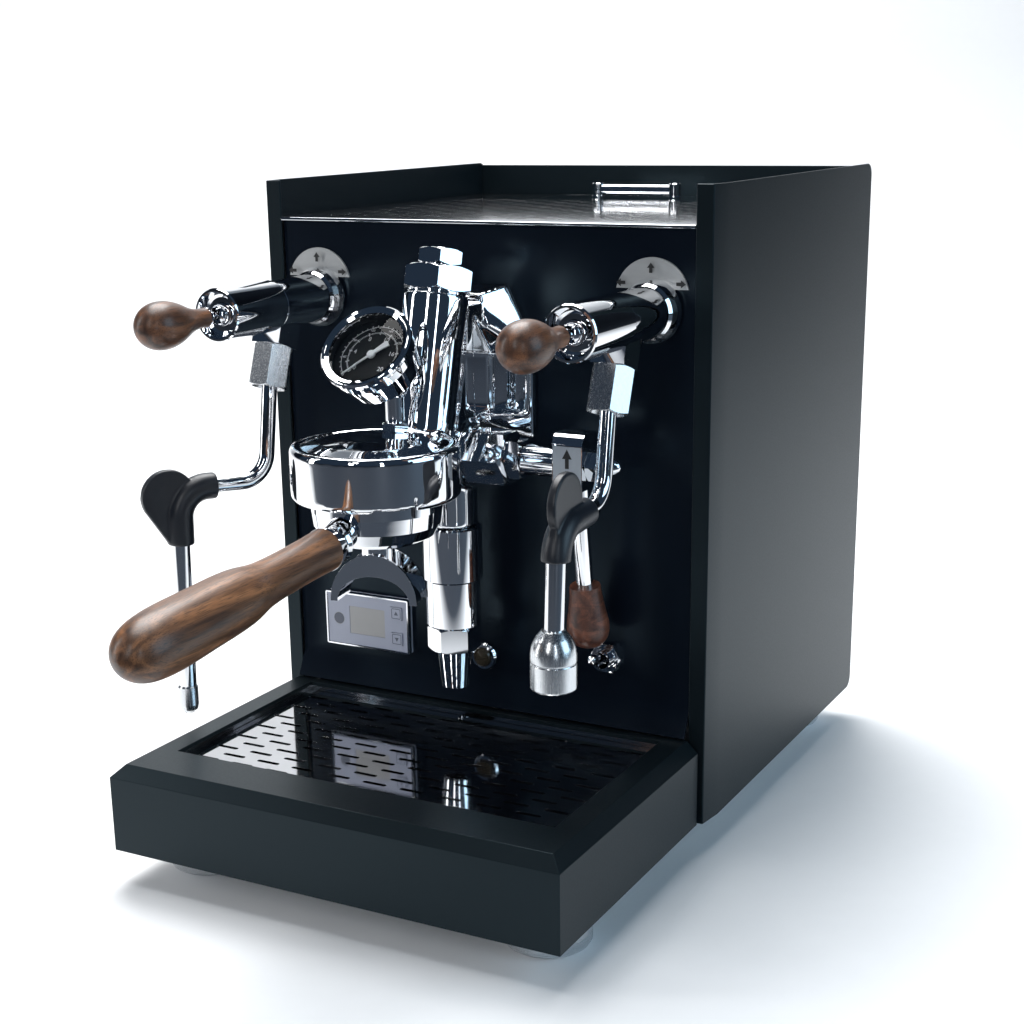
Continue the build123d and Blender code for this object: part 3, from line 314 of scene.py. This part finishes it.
def blended(name, cell, passes, material, body="root"):
    """The CAD piece as a casting or moulding: its joints run into each other in small fillets."""
    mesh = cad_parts[name].data.copy()
    work = bmesh.new()
    work.from_mesh(mesh)
    bmesh.ops.remove_doubles(work, verts=work.verts, dist=MERGE_GAP)
    work.to_mesh(mesh)
    work.free()
    mesh.materials.clear()
    piece = new_object(name + "_finished", mesh, material)
    remesh = piece.modifiers.new("cast_skin", "REMESH")
    remesh.mode = "VOXEL"
    remesh.voxel_size = cell * MM
    soften = piece.modifiers.new("polish", "SMOOTH")
    soften.factor = 0.5
    soften.iterations = passes
    bake_modifiers(piece)
    piece.data.polygons.foreach_set("use_smooth", [True] * len(piece.data.polygons))
    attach(piece, body)
    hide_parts(name)
    return piece


blended("group_casting", 0.85, 10, chrome)
eased("chamber_caps", 0.6, chrome)
eased("lever_gland", 0.5, chrome)
dress(chrome, "infusion_chamber")
eased("discharge_nozzle", 0.6, chrome)
rubber = surface("black_rubber", (0.0075, 0.0105, 0.0165), 0.38, shade=0.15, patch=0.01,
                 change=0.12, relief=5e-6, relief_size=0.0006)
brushed = surface("brushed_steel", (0.64, 0.66, 0.68), 0.24, metallic=1.0, shade=0.05, change=0.10,
                  stretch=(1, 1, 0.04), relief=8e-8, relief_size=0.0004)
dress(rubber, "group_gasket")
dress(brushed, "shower_screen")

# ---- Brew lever --------------------------------------------------------------
# A forged brass head on the cam's shaft, chromed, with a cap nut on its end and a steel rod
# that carries the knob. The arrow is engraved and filled black.
LEVER_FACE = (81.3, -49.0, 217.0)
engraving_black = surface("engraving_black", (0.012, 0.012, 0.013), 0.5, patch=0.004, relief=3e-6,
                          relief_size=0.0004)


def flat_figure(name, outlines, place, material, body, thick=0.06):
    """Thin filled shapes in a plane: outlines are in millimetres, place turns and moves them."""
    work = bmesh.new()
    for outline in outlines:
        low = [work.verts.new((x, y, 0)) for x, y in outline]
        high = [work.verts.new((x, y, thick)) for x, y in outline]
        work.faces.new(list(reversed(low)))
        work.faces.new(high)
        for i in range(len(outline)):
            j = (i + 1) % len(outline)
            work.faces.new((low[i], low[j], high[j], high[i]))
    bmesh.ops.transform(work, matrix=TO_METRES @ place, verts=work.verts)
    bmesh.ops.recalc_face_normals(work, faces=work.faces)
    mesh = bpy.data.meshes.new(name)
    work.to_mesh(mesh)
    work.free()
    piece = new_object(name, mesh, material)
    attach(piece, body)
    return piece


def facing_front(x, y, z):
    """A plane that looks out of the machine's front: its x is to the right and its y is up."""
    return Matrix.Translation((x, y, z)) @ Matrix.Rotation(pi / 2, 4, "X")


def arrow(length, head, wide, stem):
    """An arrow that points up, with its middle at nought."""
    top, low, neck = length / 2, -length / 2, length / 2 - head
    return [(0, top), (-wide / 2, neck), (-stem / 2, neck), (-stem / 2, low), (stem / 2, low),
            (stem / 2, neck), (wide / 2, neck)]


eased("brew_lever", 0.5, chrome, body="brew_lever")
head_satin = surface("head_satin", (0.52, 0.57, 0.62), 0.36, metallic=0.7, shade=0.06, patch=0.004,
                     change=0.08, stretch=(1, 1, 0.05), relief=4e-7, relief_size=0.0003)
head_face = [(-8.5, -12.4), (8.5, -12.4), (8.5, 11.4), (-8.5, 11.4)]
flat_figure("lever_head_face", [head_face], facing_front(*LEVER_FACE), head_satin, "brew_lever",
            0.04)
dash = [(-1.1, -8.2), (1.1, -8.2), (1.1, -6.6), (-1.1, -6.6)]
flat_figure("lever_arrow", [arrow(10.8, 5.4, 5.8, 2.3), dash],
            facing_front(LEVER_FACE[0], LEVER_FACE[1] - 0.045, LEVER_FACE[2] + 4.6),
            engraving_black, "brew_lever")

# ---- Wooden handles ----------------------------------------------------------
# The four handles are turned from American walnut and oiled. Their grain runs along their
# length, with darker growth bands and short open pores.


def walnut(name, dark, light, turn=(0, 0, 0)):
    """Oiled walnut whose grain runs along Y before the turn."""
    material = bpy.data.materials.new(name)
    material.use_nodes = True
    tree = material.node_tree
    links = tree.links.new
    shader = tree.nodes["Principled BSDF"]
    shader.inputs["Coat Weight"].default_value = 0.22
    shader.inputs["Coat Roughness"].default_value = 0.22
    place = shade_node(tree, "TexCoord")
    grain = shade_node(tree, "Mapping", rotation=turn, scale=(1, 0.07, 1))
    fibre = shade_node(tree, "Mapping", rotation=turn, scale=(1, 0.035, 1))
    bands = shade_node(tree, "TexNoise", scale=170.0, detail=4.0, distortion=0.6)
    pores = shade_node(tree, "TexNoise", scale=2600.0, detail=2.0)
    figure = shade_node(tree, "ValToRGB")
    figure.color_ramp.elements[0].position = 0.33
    figure.color_ramp.elements[0].color = (*dark, 1)
    figure.color_ramp.elements[1].position = 0.68
    figure.color_ramp.elements[1].color = (*light, 1)
    middle = figure.color_ramp.elements.new(0.52)
    middle.color = tuple(0.62 * d + 0.38 * c for d, c in zip(dark, light)) + (1,)
    pits = shade_node(tree, "MapRange", from_min=0.34, from_max=0.5, to_min=0.42, to_max=1.0)
    wood = shade_node(tree, "MixRGB", blend_type="MULTIPLY")
    wood.inputs[0].default_value = 1.0
    rough = shade_node(tree, "MapRange", from_min=0.3, from_max=0.7, to_min=0.38, to_max=0.52)
    bump = shade_node(tree, "Bump", distance=3e-5, strength=0.5)
    links(place.outputs["Object"], grain.inputs["Vector"])
    links(place.outputs["Object"], fibre.inputs["Vector"])
    links(grain.outputs[0], bands.inputs["Vector"])
    links(fibre.outputs[0], pores.inputs["Vector"])
    links(bands.outputs[0], figure.inputs[0])
    links(pores.outputs[0], pits.inputs[0])
    links(figure.outputs[0], wood.inputs[1])
    links(pits.outputs[0], wood.inputs[2])
    links(wood.outputs[0], shader.inputs["Base Color"])
    links(bands.outputs[0], rough.inputs[0])
    links(rough.outputs[0], shader.inputs["Roughness"])
    links(pits.outputs[0], bump.inputs["Height"])
    links(bump.outputs[0], shader.inputs["Normal"])
    return material


handle_walnut = walnut("handle_walnut", (0.046, 0.018, 0.0075), (0.33, 0.138, 0.052))
lever_walnut = walnut("lever_walnut", (0.045, 0.013, 0.007), (0.24, 0.080, 0.040), (pi / 2, 0, 0))
knob_walnut = walnut("knob_walnut", (0.034, 0.012, 0.0055), (0.23, 0.088, 0.034))
dress(handle_walnut, "portafilter_handle")
dress(knob_walnut, "steam_knob", "water_knob")
dress(lever_walnut, "lever_knob")

# ---- Portafilter and spout ---------------------------------------------------
# A chromed brass basket holder with a steel basket, and an open double spout screwed under it.
dress(chrome, "portafilter_body")
eased("double_spout", 0.5, chrome, body="portafilter")
dress(brushed, "filter_basket")

# ---- Pressure gauge ----------------------------------------------------------
# A chromed case with a rolled double bezel, a printed black dial under a domed glass, and a
# white pointer. The scale runs from nought to twenty over three quarters of a turn.
GAUGE_FACE = Vector((0, -120, 288))
GAUGE_TILT = radians(42.5)
DIAL_DEPTH = 9.08
SCALE_START = radians(225)
SCALE_SPAN = radians(270)
FINE_STEPS = 80
LONG_STEPS = 10
OUTER_STEPS = 28
on_dial = (Matrix.Translation(GAUGE_FACE) @ Matrix.Rotation(pi / 2 - GAUGE_TILT, 4, "X")
           @ Matrix.Translation((0, 0, -DIAL_DEPTH)))
dial_black = surface("dial_black", (0.006, 0.007, 0.009), 0.6, patch=0.008, relief=1e-6)
dial_black.node_tree.nodes["Principled BSDF"].inputs["Specular IOR Level"].default_value = 0.15
print_white = surface("print_white", (0.72, 0.74, 0.76), 0.5, shade=0.04, patch=0.004)


def row_tree():
    """Copies of one piece along a straight row, each turned on from the last."""
    tree = bpy.data.node_groups.new("row_of_pieces", "GeometryNodeTree")
    socket = tree.interface.new_socket
    socket("Piece", in_out="INPUT", socket_type="NodeSocketObject")
    socket("Finish", in_out="INPUT", socket_type="NodeSocketMaterial")
    socket("Count", in_out="INPUT", socket_type="NodeSocketInt")
    socket("Start", in_out="INPUT", socket_type="NodeSocketVector")
    socket("Step", in_out="INPUT", socket_type="NodeSocketVector")
    socket("First turn", in_out="INPUT", socket_type="NodeSocketFloat")
    socket("Turn step", in_out="INPUT", socket_type="NodeSocketFloat")
    socket("Row", in_out="OUTPUT", socket_type="NodeSocketGeometry")
    add, links = tree.nodes.new, tree.links.new
    given, result = add("NodeGroupInput"), add("NodeGroupOutput")
    line = add("GeometryNodeMeshLine")
    line.mode = "OFFSET"
    piece = add("GeometryNodeObjectInfo")
    copies = add("GeometryNodeInstanceOnPoints")
    number = add("GeometryNodeInputIndex")
    turn = add("ShaderNodeMath")
    turn.operation = "MULTIPLY_ADD"
    about = add("ShaderNodeCombineXYZ")
    real = add("GeometryNodeRealizeInstances")
    finish = add("GeometryNodeSetMaterial")
    links(given.outputs["Count"], line.inputs["Count"])
    links(given.outputs["Start"], line.inputs["Start Location"])
    links(given.outputs["Step"], line.inputs["Offset"])
    links(given.outputs["Piece"], piece.inputs["Object"])
    links(line.outputs["Mesh"], copies.inputs["Points"])
    links(piece.outputs["Geometry"], copies.inputs["Instance"])
    links(number.outputs[0], turn.inputs[0])
    links(given.outputs["Turn step"], turn.inputs[1])
    links(given.outputs["First turn"], turn.inputs[2])
    links(turn.outputs[0], about.inputs["Z"])
    links(about.outputs[0], copies.inputs["Rotation"])
    links(copies.outputs["Instances"], real.inputs["Geometry"])
    links(real.outputs["Geometry"], finish.inputs["Geometry"])
    links(given.outputs["Finish"], finish.inputs["Material"])
    links(finish.outputs["Geometry"], result.inputs["Row"])
    return tree


row_of_pieces = row_tree()


def row(name, piece, finish, count, place, body, start=(0, 0, 0), step=(0, 0, 0),
        first_turn=0.0, turn_step=0.0):
    """A finished row of pieces: sizes are in millimetres in the plane that place gives."""
    carrier = new_object(name, bpy.data.meshes.new(name))
    nodes = carrier.modifiers.new("row", "NODES")
    nodes.node_group = row_of_pieces
    values = {"Piece": piece, "Finish": finish, "Count": count, "Start": start, "Step": step,
              "First turn": first_turn, "Turn step": turn_step}
    for item in row_of_pieces.interface.items_tree:
        if item.in_out == "INPUT":
            nodes[item.identifier] = values[item.name]
    bake_modifiers(carrier)
    carrier.data.transform(TO_METRES @ place)
    bpy.data.objects.remove(piece)
    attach(carrier, body)
    return carrier


def bar_mark(name, near, far, wide, thick=0.05):
    """A small flat bar that lies along X, for a tick."""
    work = bmesh.new()
    bmesh.ops.create_cube(work, size=1.0)
    bmesh.ops.scale(work, vec=(far - near, wide, thick), verts=work.verts)
    bmesh.ops.translate(work, vec=((near + far) / 2, 0, thick / 2), verts=work.verts)
    mesh = bpy.data.meshes.new(name)
    work.to_mesh(mesh)
    work.free()
    return new_object(name, mesh)


def dial_number(value, angle, radius, size):
    """One printed number, upright on the dial."""
    curve = bpy.data.curves.new("number_" + str(value), "FONT")
    curve.body = str(value)
    curve.size = size
    curve.align_x = "CENTER"
    curve.align_y = "CENTER"
    curve.extrude = 0.025
    curve.resolution_u = 3
    written = bpy.data.objects.new("number_" + str(value), curve)
    bpy.context.collection.objects.link(written)
    graph = bpy.context.evaluated_depsgraph_get()
    mesh = bpy.data.meshes.new_from_object(written.evaluated_get(graph), depsgraph=graph)
    bpy.data.objects.remove(written)
    place = Matrix.Translation((radius * cos(angle), radius * sin(angle), 0.03))
    mesh.transform(TO_METRES @ on_dial @ place)
    piece = new_object("gauge_number_" + str(value) + "_" + str(round(size * 10)), mesh,
                       print_white)
    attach(piece, "root")


def dial_arc(name, radius, wide, from_angle, to_angle):
    steps = 64
    angles = [from_angle + (to_angle - from_angle) * i / steps for i in range(steps + 1)]
    outline = [(radius * cos(a), radius * sin(a)) for a in angles]
    outline += [((radius - wide) * cos(a), (radius - wide) * sin(a)) for a in reversed(angles)]
    flat_figure(name, [outline], on_dial, print_white, "root", 0.04)


dress(chrome, "gauge_case", "gauge_stem")
dress(dial_black, "gauge_dial")
dress(print_white, "gauge_needle")
for name, near, far, wide, steps in (("fine", 13.6, 14.5, 0.34, FINE_STEPS),
                                     ("long", 13.0, 15.0, 0.55, LONG_STEPS),
                                     ("outer", 17.6, 18.6, 0.3, OUTER_STEPS)):
    row("gauge_" + name + "_ticks", bar_mark(name + "_tick", near, far, wide), print_white,
        steps + 1, on_dial, "root", first_turn=SCALE_START,
        turn_step=-SCALE_SPAN / steps)
dial_arc("gauge_outer_arc", 17.7, 0.28, SCALE_START, SCALE_START - SCALE_SPAN)
for fifth, value in enumerate((0, 4, 8, 12, 16, 20)):
    dial_number(value, SCALE_START - SCALE_SPAN * fifth / 5, 11.0, 3.6)
for seventh, value in enumerate((40, 80, 120, 160, 200, 240)):
    dial_number(value, SCALE_START - SCALE_SPAN * (seventh + 1) / 7, 16.2, 1.9)


def clear(name, tint, roughness, ior=1.5, weight=1.0):
    """A see-through finish with slight wiping marks in its gloss."""
    material = surface(name, tint, roughness, shade=0.01, patch=0.01, change=roughness)
    shader = material.node_tree.nodes["Principled BSDF"]
    shader.inputs["Transmission Weight"].default_value = weight
    shader.inputs["IOR"].default_value = ior
    return material


gauge_clear = clear("gauge_clear_glass", (0.97, 0.98, 0.98), 0.006, 1.22)
dress(gauge_clear, "gauge_glass")

# ---- Steam and hot water valves ----------------------------------------------
# Chromed brass bodies with a ball joystick each. A brushed half disc behind each shows the
# ways that its joystick moves.
VALVE_X = 109.0
VALVE_Z = 297.0
PLATE_FACE = -1.3
plate_steel = surface("plate_steel", (0.50, 0.51, 0.51), 0.42, metallic=0.55, shade=0.08,
                      patch=0.004, change=0.10, stretch=(0.05, 1, 1), relief=5e-7,
                      relief_size=0.0003)
dress(chrome, "valve_bodies", "steam_joystick_ball", "water_joystick_ball", "steam_joystick",
      "water_joystick")
dress(plate_steel, "dial_plates")
for side, which in ((-1, "steam"), (1, "water")):
    pointer = arrow(5.6, 2.9, 4.4, 1.9)
    ways = [[(x, y + 23.6) for x, y in pointer],
            [(-17.8 - y, x + 15.2) for x, y in pointer],
            [(17.8 + y, 15.2 - x) for x, y in pointer]]
    flat_figure(which + "_way_arrows", ways, facing_front(side * VALVE_X, PLATE_FACE, VALVE_Z),
                engraving_black, "root")

# ---- Steam and water wands ---------------------------------------------------
# Bent stainless tube in ball joints. The nuts are turned and brushed, and each grip is a
# moulded rubber sleeve.
tube_steel = surface("tube_steel", (0.74, 0.75, 0.77), 0.06, metallic=1.0, shade=0.04, patch=0.01,
                     change=0.05, relief=3e-7)
dress(tube_steel, "steam_wand", "water_wand")
dress(brushed, "steam_tip")
eased("wand_nuts", 0.5, brushed)
eased("water_nozzle", 0.3, brushed, body="water_wand")
blended("steam_wand_grip", 0.6, 10, rubber, "steam_wand")
blended("water_wand_grip", 0.6, 10, rubber, "water_wand")
seat_plastic = surface("seat_plastic", (0.70, 0.70, 0.68), 0.4, patch=0.006, relief=4e-6)
dress(seat_plastic, "steam_wand_seat", "water_wand_seat")

# ---- Display, lamp and toggle ------------------------------------------------
# The display is a moulded block with a printed film on its face and a polished rim. Beside
# it are a small round lamp and a chromed toggle on a hexagon nut.
DISPLAY = (-82.0, 95.0)
DISPLAY_HALF = (30.5, 17.5)
INDICATOR_SIDE = 21.0
INDICATOR_RADIUS = 3.7
BUTTON_SIDE = 22.0
BUTTON_RISE = 8.3
BUTTON_HALF = 3.3
film_grey = surface("film_grey", (0.42, 0.45, 0.55), 0.34, shade=0.04, patch=0.03, relief=2e-6)
film_blank = surface("film_blank", (0.42, 0.42, 0.42), 0.30, shade=0.05, patch=0.01, relief=1e-6)
film_mark = surface("film_mark", (0.115, 0.13, 0.17), 0.4, patch=0.004, relief=1e-6)
rim_bright = surface("rim_bright", (0.78, 0.79, 0.82), 0.12, metallic=1.0, shade=0.03, change=0.06)


def rounded_outline(half_w, half_h, corner, steps=6):
    outline = []
    for quarter, (sx, sy) in enumerate(((1, 1), (-1, 1), (-1, -1), (1, -1))):
        for i in range(steps + 1):
            a = (quarter + i / steps) * pi / 2
            outline.append((sx * (half_w - corner) + corner * cos(a),
                            sy * (half_h - corner) + corner * sin(a)))
    return outline


def rim(name, half_w, half_h, corner, section, place, material, body):
    """A closed ring round a rounded rectangle: section gives inset and height, in order."""
    work = bmesh.new()
    loops = []
    for inset, height in section:
        outline = rounded_outline(half_w - inset, half_h - inset, max(corner - inset, 0.15))
        loops.append([work.verts.new((x, y, height)) for x, y in outline])
    for a, b in zip(loops, loops[1:] + loops[:1]):
        for i in range(len(a)):
            j = (i + 1) % len(a)
            work.faces.new((a[i], a[j], b[j], b[i]))
    bmesh.ops.transform(work, matrix=TO_METRES @ place, verts=work.verts)
    bmesh.ops.recalc_face_normals(work, faces=work.faces)
    mesh = bpy.data.meshes.new(name)
    work.to_mesh(mesh)
    work.free()
    piece = new_object(name, mesh, material)
    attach(piece, body)
    return piece


dress(film_grey, "display_case", "display_button_up", "display_button_down")
dress(film_blank, "display_window")
indicator = [(INDICATOR_RADIUS * cos(tau * i / 32), INDICATOR_RADIUS * sin(tau * i / 32))
             for i in range(32)]
flat_figure("status_indicator", [indicator],
            facing_front(DISPLAY[0] - INDICATOR_SIDE, -2.52, DISPLAY[1]), film_mark, "root")
rim("display_rim", DISPLAY_HALF[0] + 0.25, DISPLAY_HALF[1] + 0.25, 1.5,
    [(0, -2.5), (0, 0.1), (0.4, 0.5), (1.3, 0.5), (1.6, 0.1), (1.6, -2.5)],
    facing_front(DISPLAY[0], -2.6, DISPLAY[1]), rim_bright, "root")
for way, body in ((1, "display_button_up"), (-1, "display_button_down")):
    at = facing_front(DISPLAY[0] + BUTTON_SIDE, -3.42, DISPLAY[1] + way * BUTTON_RISE)
    rim(body + "_outline", BUTTON_HALF, BUTTON_HALF, 0.8,
        [(0, 0), (0, 0.05), (0.45, 0.05), (0.45, 0)], at, film_mark, body)
    pointer = [(x, way * y) for x, y in ((0, 1.6), (-1.5, -1.0), (1.5, -1.0))]
    flat_figure(body + "_mark", [pointer[::way]], at, film_mark, body, 0.05)
lamp_dark = clear("lamp_lens", (0.10, 0.08, 0.05), 0.06, weight=0.5)
dress(lamp_dark, "pilot_lamp")
dress(chrome, "pilot_lamp_ring", "toggle_lever")
eased("toggle_switch", 0.25, chrome)

# ---- Inside and back ---------------------------------------------------------
# Brass boiler, pump and control box behind the sheets, and the clear plastic tank under the
# lid. The back sheet is held by rows of dome headed screws.
boiler_brass = surface("boiler_brass", (0.58, 0.40, 0.18), 0.3, metallic=1.0, patch=0.02,
                       change=0.15, relief=1.5e-6)
moulded_black = surface("moulded_black", (0.016, 0.016, 0.017), 0.45, patch=0.01, change=0.1,
                        relief=1.2e-5, relief_size=0.0007)
dress(boiler_brass, "boiler")
dress(moulded_black, "pump", "control_box", "power_inlet")
tank_clear = clear("tank_clear_plastic", (0.80, 0.88, 0.92), 0.05, 1.49, 0.9)
dress(tank_clear, "water_tank")

BACK_FACE = (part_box("back_panel")[1].y - datum.y) / MM
SCREWS_IN_ROW = 5
SCREW_SIDE = 134.0
SCREW_GAP = 74.0
screw_steel = surface("screw_steel", (0.30, 0.30, 0.31), 0.3, metallic=1.0, change=0.12,
                      relief=1e-6)


def dome_screw(name, radius, rise):
    """A low dome with a small round recess, standing on its flat."""
    work = bmesh.new()
    rings = [(radius, 0.0), (radius, rise * 0.25), (radius * 0.8, rise * 0.75),
             (radius * 0.45, rise), (radius * 0.2, rise), (0.12, rise * 0.4)]
    sides = 12
    loops = [[work.verts.new((r * cos(tau * i / sides), r * sin(tau * i / sides), h))
              for i in range(sides)] for r, h in rings]
    for a, b in zip(loops, loops[1:]):
        for i in range(sides):
            j = (i + 1) % sides
            work.faces.new((a[i], a[j], b[j], b[i]))
    work.faces.new(loops[-1])
    work.faces.new(list(reversed(loops[0])))
    bmesh.ops.recalc_face_normals(work, faces=work.faces)
    mesh = bpy.data.meshes.new(name)
    work.to_mesh(mesh)
    work.free()
    mesh.polygons.foreach_set("use_smooth", [True] * len(mesh.polygons))
    return new_object(name, mesh)


facing_back = (Matrix.Translation((0, BACK_FACE, 0)) @ Matrix.Rotation(pi, 4, "Z")
               @ facing_front(0, 0, 0))
for side in (-1, 1):
    row("back_screws_" + ("left" if side < 0 else "right"), dome_screw("screw", 3.2, 1.6),
        screw_steel, SCREWS_IN_ROW, facing_back, "root",
        start=(side * SCREW_SIDE, 24.0, 0.02), step=(0, SCREW_GAP, 0), first_turn=0.3,
        turn_step=0.9)
